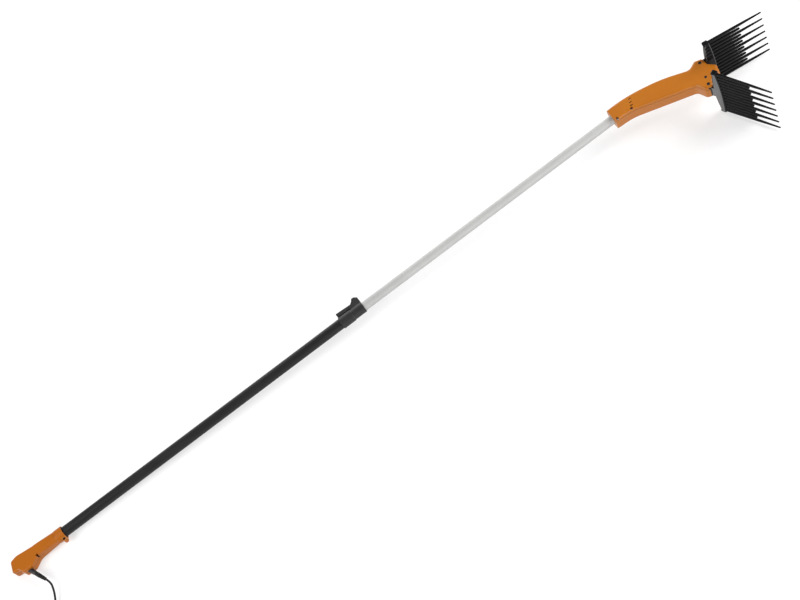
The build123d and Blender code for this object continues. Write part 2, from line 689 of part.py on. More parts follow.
# The tool lies on the butt of its handle and on the ends of its combs
tool = {
    "outer_tube": outer_tube, "inner_tube": inner_tube, "guide_bush": guide_bush, "tube_plug": tube_plug,
    "clamp_body": clamp_body, "clamp_lever": clamp_lever, "clamp_pin": clamp_pin, "clamp_shoe": clamp_shoe,
    "casing_near": casing_near, "casing_far": casing_far, "casing_screws": casing_screws, "motor": motor,
    "gearbox": gearbox, "drive_rocker": drive_rocker, "shaft_plate": shaft_plate, "hinge_pins": hinge_pins,
    "handle_near": handle_near, "handle_far": handle_far, "handle_screws": handle_screws,
    "switch_body": switch_body, "switch_rocker": switch_rocker, "power_socket": power_socket,
}
tool.update(combs)
on_cord = {"power_plug": power_plug, "cord_boot": cord_boot}
butt_contact = handle_end + handle_edge_round
comb_contact = hinges[1].X + comb_back * cos(radians(head_angle - comb_gape + rest_turn))
lay_angle = degrees(atan2(comb_half_width - handle_half_thickness, comb_contact - butt_contact))
tilt = Rot(0, -lay_angle, 0)
box = Compound([tilt * piece for piece in tool.values()]).bounding_box()
lay = Pos(-box.center().X, -box.center().Y, -box.min.Z) * tilt
ground = Pos(-box.center().X, -box.center().Y, 0)

# Lead from the strain relief to the coil: straight runs joined by arcs as large as the runs allow
cord_start = ground.inverse() * lay * plug_place * Location((boot_end, 0, 0))
cord_points = [cord_start.position, (cord_start * Pos(cord_first_run, 0, 0)).position]
cord_points += [Vector(*point) for point in cord_route]
cord_radius = cord_diameter / 2


def cord_along(path, name):
    """Round cord along a path, with a line that tells how full the sweep is."""
    tube = sweep(Plane(path @ 0, z_dir=path % 0) * Circle(cord_radius), path=path)
    share = tube.volume / (path.length * pi * cord_radius**2)
    print(name, "length", round(path.length, 1), "volume share", round(share, 4))
    return tube


def bent_path(points):
    """Straight runs between points with a round at each bend."""
    radii = []
    for before, point, after in zip(points, points[1:], points[2:]):
        half_turn = radians((point - before).get_angle(after - point)) / 2
        shorter = min((point - before).length, (after - point).length)
        radii.append(cord_bend_share * shorter / tan(half_turn))
    print("bend radii", [round(radius, 1) for radius in radii])
    return FilletPolyline(points, radius=radii)


power_cord = cord_along(bent_path(cord_points), "power_cord")

# Coil: half turns that spiral in on the lower layer, climb in one half turn and spiral out on the upper layer
coil_step = (cord_diameter + coil_gap) / 2
layer_rise = cord_diameter + coil_gap
inward = [coil_outer_radius - coil_step * k for k in range(coil_half_turns + 1)]
innermost = inward[-1] - coil_step
outward = [innermost + coil_step * (k + 2) for k in range(coil_half_turns + 1)]
turning_points = []
for k, radius in enumerate(inward + [innermost] + outward):
    height = layer_rise if k > coil_half_turns else 0.0
    turning_points.append(Vector(0, radius if k % 2 == 0 else -radius, height))
end_run = Vector(coil_end_run, 0, 0)
coil_start = turning_points[0] - end_run
coil_end = turning_points[-1] + end_run
coil_edges = [Line(coil_start, turning_points[0])]
for k, (a, b) in enumerate(zip(turning_points, turning_points[1:])):
    bulge = (a - b).length / 2 * (1 if k % 2 == 0 else -1)
    coil_edges.append(ThreePointArc(a, (a + b) / 2 + Vector(bulge, 0, 0), b))
coil_edges.append(Line(turning_points[-1], coil_end))
coil_wire = Wire([edge.edge() for edge in coil_edges])
coil = cord_along(coil_wire, "cord_coil")
samples = [coil_wire @ (k / coil_samples) for k in range(coil_samples + 1)]
apart = round(coil_outer_radius / coil_wire.length * coil_samples)
nearest = min((a - b).length for k, a in enumerate(samples) for b in samples[k + apart:])
print("cord_coil least gap to itself", round(nearest - cord_diameter, 2))

# The coil lies where the lead ends, held by a strap round its side, and its tail runs on to the connector
run_in = cord_points[-1] - cord_points[-2]
heading = degrees(atan2(run_in.Y, run_in.X))
coil_place = Pos(*cord_points[-1]) * Rot(0, 0, heading) * Pos(coil_start * -1)
cord_coil = coil_place * coil
tie_inner = innermost + coil_step / 2 - cord_radius
tie_outer = outward[-1] - coil_step / 2 + cord_radius
tie_room = Rectangle(tie_outer - tie_inner + 2 * running_clearance,
                     layer_rise + cord_diameter + 2 * running_clearance)
tie_band = offset(tie_room, tie_thickness) - tie_room
tie_middle = Vector(-(tie_inner + tie_outer) / 2, 0, layer_rise / 2)
coil_tie = coil_place * Pos(tie_middle) * extrude(Plane.XZ * tie_band, tie_width / 2, both=True)

tail_place = coil_place * Pos(coil_end)
tail_points = [tail_place.position, (tail_place * Pos(tail_first_run, 0, 0)).position]
for x, y, height in tail_route:
    spot = (tail_place * Pos(x, y, 0)).position
    tail_points.append(Vector(spot.X, spot.Y, height))
cord_tail = cord_along(bent_path(tail_points), "cord_tail")
run_out = tail_points[-1] - tail_points[-2]
connector_place = Pos(*tail_points[-1]) * Rot(0, 0, degrees(atan2(run_out.Y, run_out.X)))
barrel_start = connector_neck_length + connector_length
battery_connector = along_x(connector_neck_diameter / 2, 0, connector_neck_length)
battery_connector += along_x(connector_diameter / 2, connector_neck_length, barrel_start)
battery_connector += along_x(barrel_diameter / 2, barrel_start, barrel_start + barrel_length)
battery_connector = connector_place * battery_connector

for name, piece in (tool | on_cord).items():
    export_step(lay * piece, f"parts/{name}.step")
on_ground = {
    "power_cord": power_cord, "cord_coil": cord_coil, "coil_tie": coil_tie, "cord_tail": cord_tail,
    "battery_connector": battery_connector,
}
for name, piece in on_ground.items():
    export_step(ground * piece, f"parts/{name}.step")
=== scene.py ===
"""Electric olive harvester: the looks of a telescopic pole with a handle, a lead and two combs."""
import json
from math import cos, pi, radians, sin

import bpy
from mathutils import Matrix, Vector
from mathutils.bvhtree import BVHTree

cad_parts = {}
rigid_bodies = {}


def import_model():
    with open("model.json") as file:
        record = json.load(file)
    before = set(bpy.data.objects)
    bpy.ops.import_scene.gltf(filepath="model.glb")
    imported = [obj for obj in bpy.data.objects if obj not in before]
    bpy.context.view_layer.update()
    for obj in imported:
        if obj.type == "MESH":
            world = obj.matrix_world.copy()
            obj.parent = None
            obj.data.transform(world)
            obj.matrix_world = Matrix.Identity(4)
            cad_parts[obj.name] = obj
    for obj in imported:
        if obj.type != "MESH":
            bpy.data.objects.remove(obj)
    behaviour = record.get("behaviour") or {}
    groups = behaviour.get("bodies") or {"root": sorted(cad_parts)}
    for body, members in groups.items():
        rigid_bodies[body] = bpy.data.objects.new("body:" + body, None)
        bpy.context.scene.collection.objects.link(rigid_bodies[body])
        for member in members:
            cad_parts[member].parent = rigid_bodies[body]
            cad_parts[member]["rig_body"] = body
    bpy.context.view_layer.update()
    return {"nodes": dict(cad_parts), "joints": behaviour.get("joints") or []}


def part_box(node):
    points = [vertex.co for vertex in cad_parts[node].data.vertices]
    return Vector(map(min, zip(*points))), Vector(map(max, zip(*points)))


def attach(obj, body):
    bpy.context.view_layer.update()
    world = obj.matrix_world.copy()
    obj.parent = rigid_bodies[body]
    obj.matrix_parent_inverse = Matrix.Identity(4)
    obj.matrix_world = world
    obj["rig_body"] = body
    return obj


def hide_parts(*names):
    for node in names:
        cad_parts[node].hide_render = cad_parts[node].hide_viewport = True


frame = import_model()
solids = frame["nodes"]

# Outer tube: drawn aluminium, anodised black, pushed into the handle and held by its screws. Drawing leaves
# faint lines along it, the dye is a little uneven and hands rub it to a soft sheen.


class Shade:
    """A value in a material: sums and products of values add their Math nodes."""

    def __init__(self, material, socket=None):
        self.material = material
        self.socket = socket

    def node(self, kind, settings, sockets, output=0):
        tree = self.material.node_tree
        made = tree.nodes.new("ShaderNode" + kind)
        for name, value in settings.items():
            if name == "stops":
                stops = made.color_ramp.elements
                while len(stops) < len(value):
                    stops.new(1.0)
                for stop, (place, level) in zip(stops, value):
                    stop.position = place
                    stop.color = (level, level, level, 1.0)
            else:
                setattr(made, name, value)
        for name, value in sockets.items():
            if isinstance(value, Shade):
                tree.links.new(value.socket, made.inputs[name])
            else:
                made.inputs[name].default_value = value
        return Shade(self.material, made.outputs[output])

    def feed(self, name, value):
        """Sets or links a socket of the material's surface."""
        socket = self.material.node_tree.nodes["Principled BSDF"].inputs[name]
        if isinstance(value, Shade):
            self.material.node_tree.links.new(value.socket, socket)
        else:
            socket.default_value = value

    def math(self, operation, first, second):
        return self.node("Math", {"operation": operation}, {0: first, 1: second})

    def __add__(self, other):
        return self.math("ADD", self, other)

    def __sub__(self, other):
        return self.math("SUBTRACT", self, other)

    def __rsub__(self, other):
        return self.math("SUBTRACT", other, self)

    def __mul__(self, other):
        return self.math("MULTIPLY", self, other)

    __radd__ = __add__
    __rmul__ = __mul__


def new_finish(name):
    """An empty material and its first value, the place on the object in metres."""
    material = bpy.data.materials.new(name)
    material.use_nodes = True
    return Shade(material).node("TexCoord", {}, {}, "Object")


def stretched(place, scale):
    """The place on the object, scaled along each axis."""
    return place.node("Mapping", {}, {"Vector": place, "Scale": scale})


def patches(place, scale, low, high, detail=3.0):
    """Soft blotches between two levels of a noise, from 0 to 1."""
    noise = place.node("TexNoise", {}, {"Vector": place, "Scale": scale, "Detail": detail}, "Fac")
    return noise.node("ValToRGB", {"stops": [(low, 0.0), (high, 1.0)]}, {"Fac": noise}, "Color")


def blend_colours(mask, first, second):
    """One colour where the mask is 0 and another where it is 1."""
    made = mask.node("Mix", {"data_type": "RGBA"}, {"Factor": mask}, 2)
    mixer = made.socket.node
    for number, colour in ((6, first), (7, second)):
        if isinstance(colour, Shade):
            mask.material.node_tree.links.new(colour.socket, mixer.inputs[number])
        else:
            mixer.inputs[number].default_value = (*colour, 1.0)
    return made


def raise_surface(height, distance):
    """Bump of a height from 0 to 1, as deep as the distance in metres."""
    bump = height.node("Bump", {}, {"Height": height, "Distance": distance, "Strength": 1.0}, "Normal")
    bump.feed("Normal", bump)


def coat(finish, *names):
    """Gives a finish to solids that are shown as they are."""
    for name in names:
        for slot in solids[name].material_slots:
            slot.material = finish.material


black_anodised = new_finish("black_anodised")
lines = patches(stretched(black_anodised, (6.0, 900.0, 900.0)), 1.0, 0.35, 0.75, 2.0)
rubs_and_sheen = patches(stretched(black_anodised, (3.0, 25.0, 25.0)), 2.0, 0.5, 0.8)
dyed = blend_colours(lines, (0.010, 0.010, 0.0105), (0.017, 0.0165, 0.0165))
black_anodised.feed("Base Color", blend_colours(rubs_and_sheen * 0.5, dyed, (0.03, 0.029, 0.028)))
black_anodised.feed("Roughness", 0.44 + lines * 0.08 - rubs_and_sheen * 0.07)
black_anodised.feed("Specular IOR Level", 0.22)
raise_surface(lines, 0.00001)
coat(black_anodised, "outer_tube")

# Inner tube: the same kind of drawn tube left its natural silver, blasted matt before it was anodised. It
# slides out of the outer tube and carries the head.
silver_anodised = new_finish("silver_anodised")
lines = patches(stretched(silver_anodised, (5.0, 700.0, 700.0)), 1.0, 0.35, 0.75, 2.0)
clouds = patches(silver_anodised, 14.0, 0.35, 0.7)
silver_anodised.feed("Base Color", blend_colours(clouds * 0.6, (0.49, 0.49, 0.48), (0.44, 0.44, 0.435)))
silver_anodised.feed("Metallic", 0.3)
silver_anodised.feed("Roughness", 0.55 + lines * 0.10)
raise_surface(lines, 0.000015)
coat(silver_anodised, "inner_tube")

# Guide bush and tube plug: plain nylon turnings inside the tubes. The bush centres the inner tube's lower
# end, and the plug closes the outer tube in the handle around the wires.
black_nylon = new_finish("black_nylon")
grain = patches(black_nylon, 1600.0, 0.3, 0.75)
flow = patches(black_nylon, 30.0, 0.4, 0.7)
black_nylon.feed("Base Color", blend_colours(flow * 0.7, (0.016, 0.0155, 0.0165), (0.023, 0.0222, 0.023)))
black_nylon.feed("Roughness", 0.48 + grain * 0.10 - flow * 0.06)
black_nylon.feed("Specular IOR Level", 0.35)
raise_surface(grain, 0.00003)
coat(black_nylon, "guide_bush", "tube_plug")
# Paler grey for the eased rims of nylon pieces: partly rubbed wear, partly a painted edge highlight.
rubbed_nylon_and_highlight = new_finish("rubbed_nylon_and_highlight")
chafes = patches(rubbed_nylon_and_highlight, 240.0, 0.4, 0.7, 5.0)
rubbed_nylon_and_highlight.feed("Base Color", blend_colours(chafes, (0.022, 0.0215, 0.022), (0.075, 0.073, 0.072)))
rubbed_nylon_and_highlight.feed("Roughness", 0.34 + chafes * 0.16)

# Pole clamp: a moulded nylon sleeve glued to the outer tube, with two ears that hold the cam lever. Shut, the
# lever lies along the sleeve and its cam presses the shoe on the inner tube.
corner_angle = radians(32.0)
turned_corner_angle = radians(30.0)
coplanar_angle = radians(0.03)


def only(piece):
    """Leaves one object selected and active."""
    bpy.ops.object.select_all(action="DESELECT")
    piece.select_set(True)
    bpy.context.view_layer.objects.active = piece


def merged_copy(name, finish):
    """Copy of a solid with its faces joined up, which is shown in the solid's place."""
    piece = bpy.data.objects.new(name + "_dressed", solids[name].data.copy())
    bpy.context.scene.collection.objects.link(piece)
    only(piece)
    bpy.ops.mesh.customdata_custom_splitnormals_clear()
    bpy.ops.object.mode_set(mode="EDIT")
    bpy.ops.mesh.select_all(action="SELECT")
    bpy.ops.mesh.remove_doubles(threshold=0.000001)
    bpy.ops.mesh.dissolve_limited(angle_limit=coplanar_angle)
    bpy.ops.object.mode_set(mode="OBJECT")
    piece.data.materials.clear()
    piece.data.materials.append(finish.material)
    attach(piece, solids[name]["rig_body"])
    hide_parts(name)
    return piece


def bevel_edges(piece, numbers, width, segments=2, slot=-1):
    """Rounds off the edges with these numbers; the new faces take a material slot of the piece."""
    weights = piece.data.attributes.new("bevel_weight_edge", "FLOAT", "EDGE")
    for number in numbers:
        weights.data[number].value = 1.0
    ease = piece.modifiers.new("ease", "BEVEL")
    ease.width = width
    ease.segments = segments
    ease.limit_method = "WEIGHT"
    ease.use_clamp_overlap = False
    ease.loop_slide = False
    ease.material = slot
    bpy.ops.object.modifier_apply(modifier=ease.name)


def eased_copy(name, edge, finish, edge_wear_and_highlight):
    """Merged copy of a solid whose sharp edges are eased and take an edge finish: wear and a painted edge
    highlight.

    Corners that the easing throws off the solid go back to its surface.
    """
    piece = merged_copy(name, finish)
    piece.data.materials.append(edge_wear_and_highlight.material)
    places = [vertex.co.copy() for vertex in piece.data.vertices]
    surface = BVHTree.FromPolygons(places, [tuple(face.vertices) for face in piece.data.polygons])
    bpy.ops.object.mode_set(mode="EDIT")
    bpy.ops.mesh.select_mode(type="EDGE")
    bpy.ops.mesh.select_all(action="DESELECT")
    bpy.ops.mesh.edges_select_sharp(sharpness=corner_angle)
    bpy.ops.object.mode_set(mode="OBJECT")
    bevel_edges(piece, [sharp.index for sharp in piece.data.edges if sharp.select], edge, slot=1)
    for vertex in piece.data.vertices:
        nearest, normal, face_number, gap = surface.find_nearest(vertex.co)
        if gap > edge:
            vertex.co = nearest
    bpy.ops.object.shade_smooth_by_angle(angle=corner_angle)
    weigh = piece.modifiers.new("weigh", "WEIGHTED_NORMAL")
    weigh.keep_sharp = True
    bpy.ops.object.modifier_apply(modifier=weigh.name)
    return piece


def turned(name, stations, sides, finish):
    """Turned piece along Z: a disc drawn out from one (height, radius) station to the next."""
    bpy.ops.object.select_all(action="DESELECT")
    height, radius = stations[0]
    bpy.ops.mesh.primitive_circle_add(vertices=sides, radius=radius, fill_type="NGON",
                                      location=(0, 0, height))
    piece = bpy.context.active_object
    piece.name = name
    bpy.ops.object.transform_apply(location=True, rotation=True, scale=True)
    bpy.ops.object.mode_set(mode="EDIT")
    bpy.ops.mesh.select_all(action="SELECT")
    for next_height, next_radius in stations[1:]:
        bpy.ops.mesh.extrude_region_move(TRANSFORM_OT_translate={"value": (0, 0, next_height - height)})
        grown = next_radius / radius
        bpy.ops.transform.resize(value=(grown, grown, 1), center_override=(0, 0, next_height))
        height, radius = next_height, next_radius
    bpy.ops.mesh.select_all(action="SELECT")
    bpy.ops.mesh.normals_make_consistent(inside=False)
    bpy.ops.object.mode_set(mode="OBJECT")
    bpy.ops.object.shade_smooth_by_angle(angle=turned_corner_angle)
    piece.data.materials.append(finish.material)
    return piece


def set_at(piece, place, direction):
    """Puts a piece that is made along Z in its place, with the place in its mesh."""
    only(piece)
    facing = Vector(direction).to_track_quat("Z", "Y").to_matrix().to_4x4()
    piece.matrix_world = Matrix.Translation(place) @ facing
    bpy.ops.object.transform_apply(location=True, rotation=True, scale=True)


def joined(pieces):
    """Joins like pieces into the first of them."""
    only(pieces[0])
    for piece in pieces[1:]:
        piece.select_set(True)
    bpy.ops.object.join()
    return pieces[0]


for name in ("clamp_body", "clamp_shoe"):
    eased_copy(name, 0.0006, black_nylon, rubbed_nylon_and_highlight)
hinge_axis = Vector(next(joint for joint in frame["joints"] if joint["name"] == "upper_comb_swing")["axis"])
across_pole = Vector((0.0, 1.0, 0.0))
along_pole = across_pole.cross(hinge_axis)
clamp_start = Vector((-0.14043, 0.12452, 0.05608))
lever_tip_setback = 0.002
lever_tip_top = 0.0315
lever_fall = 4.0 / 66.0
rib_count = 5
rib_pitch = 0.003
first_rib = 0.004
rib_half = 0.0055
rib_radius = 0.0009
rib_end = [(-rib_half, 0.3 * rib_radius), (0.0004 - rib_half, 0.8 * rib_radius),
           (rib_radius - rib_half, rib_radius)]
rib_outline = rib_end + [(-height, radius) for height, radius in reversed(rib_end)]
lever_pieces = [eased_copy("clamp_lever", 0.0006, black_nylon, rubbed_nylon_and_highlight)]
for number in range(rib_count):
    from_tip = first_rib + rib_pitch * number
    ahead = along_pole * (lever_tip_setback + from_tip)
    above = across_pole * (lever_tip_top - lever_fall * from_tip)
    rib = turned("grip_rib_" + str(number), rib_outline, 16, black_nylon)
    set_at(rib, clamp_start + ahead + above, hinge_axis)
    lever_pieces.append(rib)
joined(lever_pieces)

# Head casing: two orange mouldings screwed together round the motor and the gears. Spark erosion gives the
# mould its fine grain, and the rims and corners are rubbed smoother; their paler colour is partly wear and
# partly a painted edge highlight.


def moulded_orange(name, fresh, deep, shine):
    """Orange plastic between two tones, with a fine mould grain and a few long scuffs."""
    finish = new_finish(name)
    grain = patches(finish, 1300.0, 0.3, 0.75)
    flow = patches(finish, 16.0, 0.35, 0.75)
    scuffs = patches(stretched(finish, (40.0, 160.0, 160.0)), 1.0, 0.62, 0.80, 6.0)
    body = blend_colours(flow * 0.6, fresh, deep)
    finish.feed("Base Color", blend_colours(scuffs * 0.25, body, (0.52, 0.22, 0.05)))
    finish.feed("Roughness", 0.29 + grain * 0.08 + scuffs * 0.12)
    finish.feed("Specular IOR Level", shine)
    raise_surface(grain, 0.00003)
    return finish


orange_moulding = moulded_orange("orange_moulding", (0.44, 0.137, 0.005), (0.40, 0.117, 0.004), 0.42)
# Paler orange for the eased rims: partly rubbed wear, partly a painted edge highlight.
rubbed_orange_and_highlight = new_finish("rubbed_orange_and_highlight")
chafes = patches(rubbed_orange_and_highlight, 180.0, 0.35, 0.7, 5.0)
rubbed_orange_and_highlight.feed("Base Color", blend_colours(chafes, (0.46, 0.155, 0.012), (0.56, 0.27, 0.08)))
rubbed_orange_and_highlight.feed("Roughness", 0.24 + chafes * 0.18)
# Parting groove: dark brown, partly dust and partly painted shade that deepens the groove's own shadow.
parting_dust_and_shade = new_finish("parting_dust_and_shade")
dust_and_shade = patches(parting_dust_and_shade, 150.0, 0.3, 0.75, 4.0)
parting_dust_and_shade.feed("Base Color", blend_colours(dust_and_shade, (0.16, 0.048, 0.003), (0.075, 0.034, 0.012)))
parting_dust_and_shade.feed("Roughness", 0.70 + dust_and_shade * 0.15)
parting_top = 1.1 * 0.0016
rim_bottom, rim_top = 0.0002, 0.0006


def soil_parting(piece):
    """Gives the shadow gap along the lowest rim of an upper shell a dark colour, part dust that gathers
    there and part painted shade.

    A face that reaches from under the rim to well above it belongs to the outside and keeps its colour.
    """
    piece.data.materials.append(parting_dust_and_shade.material)
    heights = [vertex.co.dot(hinge_axis) for vertex in piece.data.vertices]
    lowest = min(heights)
    for face in piece.data.polygons:
        levels = [heights[number] - lowest for number in face.vertices]
        outside = min(levels) < rim_bottom and max(levels) > rim_top
        if max(levels) < parting_top and not outside:
            face.material_index = 2


casing_far = eased_copy("casing_far", 0.0003, orange_moulding, rubbed_orange_and_highlight)
casing_near = eased_copy("casing_near", 0.0003, orange_moulding, rubbed_orange_and_highlight)
soil_parting(casing_near)

# Screws and hinge pins: pan-head steel screws in the casing's pockets, and the flush heads of the pins that
# the combs swing on.
black_oxide = new_finish("black_oxide")
dull = patches(black_oxide, 400.0, 0.35, 0.7)
black_oxide.feed("Base Color", blend_colours(dull, (0.020, 0.019, 0.018), (0.035, 0.033, 0.031)))
black_oxide.feed("Metallic", 0.5)
black_oxide.feed("Roughness", 0.42 + dull * 0.15)
raise_surface(dull, 0.00001)
coat(black_oxide, "clamp_pin")
zinc_steel = new_finish("zinc_steel")
dull = patches(zinc_steel, 300.0, 0.35, 0.7)
zinc_steel.feed("Base Color", blend_colours(dull, (0.46, 0.46, 0.47), (0.36, 0.36, 0.35)))
zinc_steel.feed("Metallic", 1.0)
zinc_steel.feed("Roughness", 0.30 + dull * 0.15)
raise_surface(dull, 0.00001)
shank_radius = 0.002
head_radius = 0.0035
head_height = 0.003
cross_width = 0.0009
cross_length = 4.2 * cross_width
cross_depth = 0.0014
pin_length = 0.0455
pin_radius = 0.0035
pin_head_radius = 0.0048
pin_head_height = 0.0018
pin_hollow_depth = 0.0008


def pan_screw(name, top, length, finish):
    """Pan-head screw with a screwdriver's cross, made with its top at zero and set parallel to the pins."""
    piece = turned(name, [
        (-length, 0.4 * shank_radius), (shank_radius - length, shank_radius), (-head_height, shank_radius),
        (-head_height, head_radius - 0.0002), (0.0002 - head_height, head_radius), (-0.0012, head_radius),
        (-0.0005, 0.0031), (-0.0001, 0.0022), (0.0, 0.0012)], 28, finish)
    for angle in (0.0, pi / 2):
        bpy.ops.object.select_all(action="DESELECT")
        bpy.ops.mesh.primitive_cube_add(size=1.0, location=(0, 0, 0), rotation=(0, 0, angle))
        cutter = bpy.context.active_object
        cutter.scale = (cross_length, cross_width, 2 * cross_depth)
        bpy.ops.object.transform_apply(location=True, rotation=True, scale=True)
        only(piece)
        cut = piece.modifiers.new("cross", "BOOLEAN")
        cut.operation = "DIFFERENCE"
        cut.object = cutter
        bpy.ops.object.modifier_apply(modifier=cut.name)
        bpy.data.objects.remove(cutter)
    set_at(piece, top, hinge_axis)
    return piece


def hinge_pin(name, top):
    """Hinge pin with a flush, slightly hollow head."""
    piece = turned(name, [
        (-pin_length, pin_radius - 0.0004), (0.0004 - pin_length, pin_radius), (-pin_head_height, pin_radius),
        (-pin_head_height, pin_head_radius - 0.0002), (0.0002 - pin_head_height, pin_head_radius),
        (-0.0003, pin_head_radius), (0.0, pin_head_radius - 0.0003), (0.0, 0.0030),
        (-pin_hollow_depth, 0.0026), (-pin_hollow_depth, 0.0005)], 40, black_oxide)
    set_at(piece, top, hinge_axis)
    return piece


casing_screws = joined([
    pan_screw("casing_screw_a", (0.79935, 0.10532, 0.10778), 0.024, zinc_steel),
    pan_screw("casing_screw_b", (0.84682, 0.10322, 0.10941), 0.024, zinc_steel),
    pan_screw("casing_screw_c", (1.05192, 0.0392, 0.12043), 0.0085, black_oxide),
])
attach(casing_screws, "head")
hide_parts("casing_screws")
hinge_pins = joined([
    hinge_pin("hinge_pin_upper", (1.06785, 0.08659, 0.12098)),
    hinge_pin("hinge_pin_lower", (1.04427, 0.01645, 0.12017)),
])
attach(hinge_pins, "head")
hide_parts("hinge_pins")

# Drive inside the casing: the motor's steel can, the cast gearbox, the toothed rocker on its shaft and the
# bearing plate, all out of sight until the casing is opened.
motor_can = new_finish("motor_can")
dull = patches(motor_can, 120.0, 0.35, 0.7)
motor_can.feed("Base Color", blend_colours(dull, (0.11, 0.11, 0.115), (0.16, 0.16, 0.16)))
motor_can.feed("Metallic", 0.8)
motor_can.feed("Roughness", 0.38 + dull * 0.12)
cast_aluminium = new_finish("cast_aluminium")
sand = patches(cast_aluminium, 700.0, 0.3, 0.75)
cast_aluminium.feed("Base Color", blend_colours(sand, (0.50, 0.50, 0.50), (0.40, 0.40, 0.40)))
cast_aluminium.feed("Metallic", 1.0)
cast_aluminium.feed("Roughness", 0.50 + sand * 0.14)
raise_surface(sand, 0.00006)
bronze = new_finish("bronze")
pores = patches(bronze, 1500.0, 0.3, 0.7)
bronze.feed("Base Color", blend_colours(pores, (0.46, 0.29, 0.11), (0.34, 0.21, 0.09)))
bronze.feed("Metallic", 1.0)
bronze.feed("Roughness", 0.36 + pores * 0.16)
coat(motor_can, "motor")
coat(cast_aluminium, "gearbox")
coat(zinc_steel, "drive_rocker", "shaft_plate")
coat(bronze, "upper_comb_bushes", "lower_comb_bushes")

# Combs: nylon bases, smooth on the outer plate and pocketed inside, with round tines moulded into their front
# edge, long and short by turns. The outer plate's lighter grey is a painted sheen, and the inner rim along
# the tines is painted pale in flecks as a highlight.
comb_nylon = new_finish("comb_nylon")
flow = patches(stretched(comb_nylon, (18.0, 18.0, 60.0)), 1.0, 0.35, 0.75)
specks = patches(comb_nylon, 900.0, 0.45, 0.75)
comb_nylon.feed("Base Color", blend_colours(flow * 0.6, (0.0035, 0.0035, 0.004), (0.006, 0.006, 0.006)))
comb_nylon.feed("Roughness", 0.34 + specks * 0.08 + flow * 0.06)
comb_nylon.feed("Specular IOR Level", 0.12)
raise_surface(specks, 0.00001)
# Outer plate: glossy nylon whose lighter grey base colour is a painted sheen.
glossy_nylon_painted_sheen = new_finish("glossy_nylon_painted_sheen")
rubs_and_sheen = patches(stretched(glossy_nylon_painted_sheen, (60.0, 60.0, 14.0)), 1.0, 0.3, 0.75, 6.0)
specks = patches(glossy_nylon_painted_sheen, 700.0, 0.4, 0.75)
glossy_nylon_painted_sheen.feed("Base Color", blend_colours(rubs_and_sheen * 0.8, (0.092, 0.093, 0.096), (0.048, 0.048, 0.050)))
glossy_nylon_painted_sheen.feed("Roughness", 0.12 + rubs_and_sheen * 0.10 + specks * 0.05)
glossy_nylon_painted_sheen.feed("Specular IOR Level", 0.6)
# Inner front rim: a painted highlight, pale grey in flecks.
painted_rim_highlight = new_finish("painted_rim_highlight")
highlight_flecks = patches(painted_rim_highlight, 260.0, 0.35, 0.7, 5.0)
painted_rim_highlight.feed("Base Color", blend_colours(highlight_flecks, (0.24, 0.245, 0.25), (0.06, 0.06, 0.062)))
painted_rim_highlight.feed("Roughness", 0.36 + highlight_flecks * 0.2)
rim_width = 0.0011
flat_within = 0.0003
tine_hole_facet = 0.00001


def beside(mesh):
    """The faces that meet at each edge of a mesh."""
    faces = {}
    for face in mesh.polygons:
        for key in face.edge_keys:
            faces.setdefault(key, []).append(face)
    return faces


tilt = Vector((0.0, 0.0, 1.0)).rotation_difference(hinge_axis)
for side, heading, sign in (("upper", radians(-8.6), 1), ("lower", radians(-64.6), -1)):
    along = tilt @ Vector((cos(heading), sin(heading), 0.0))
    outward = tilt @ Vector((-sin(heading), cos(heading), 0.0)) * sign
    base = merged_copy(side + "_comb_base", comb_nylon)
    base.data.materials.append(glossy_nylon_painted_sheen.material)
    base.data.materials.append(painted_rim_highlight.material)
    plates = [face for face in base.data.polygons if face.normal.dot(outward) > 0.999]
    level = max(plates, key=lambda face: face.area).center.dot(outward)
    for face in plates:
        face.material_index = 1 if abs(face.center.dot(outward) - level) < flat_within else 0
    meeting = beside(base.data)
    rim = []
    for border in base.data.edges:
        pair = meeting[border.key]
        inner = any(face.normal.dot(outward) < -0.96 and face.area > tine_hole_facet for face in pair)
        front = any(face.normal.dot(along) > 0.9 for face in pair)
        if inner and front:
            rim.append(border.index)
    bevel_edges(base, rim, rim_width, slot=2)
    bpy.ops.object.shade_smooth_by_angle(angle=corner_angle)
    coat(comb_nylon, side + "_comb_long_tines", side + "_comb_short_tines")

# Handle: two mouldings of a slightly deeper orange, screwed together on the tube. They close over the wires,
# the switch and the power socket.
handle_orange = moulded_orange("handle_orange", (0.40, 0.112, 0.004), (0.365, 0.097, 0.003), 0.3)
handle_far = eased_copy("handle_far", 0.0004, handle_orange, rubbed_orange_and_highlight)
handle_near = eased_copy("handle_near", 0.0004, handle_orange, rubbed_orange_and_highlight)
soil_parting(handle_near)
handle_screws = joined([
    pan_screw("handle_screw_a", (-1.10013, 0.10252, 0.03072), 0.016, black_oxide),
    pan_screw("handle_screw_b", (-1.18606, 0.10902, 0.02728), 0.016, black_oxide),
])
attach(handle_screws, "pole_and_handle")
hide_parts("handle_screws")

# Rocker switch: a gloss black rocker in a matt frame, clipped into the top edge of the handle.
gloss_black = new_finish("gloss_black")
wiped = patches(gloss_black, 220.0, 0.4, 0.75)
gloss_black.feed("Base Color", blend_colours(wiped, (0.010, 0.010, 0.011), (0.016, 0.016, 0.017)))
gloss_black.feed("Roughness", 0.16 + wiped * 0.12)
eased_copy("switch_body", 0.0003, black_nylon, rubbed_nylon_and_highlight)
eased_copy("switch_rocker", 0.0005, gloss_black, gloss_black)

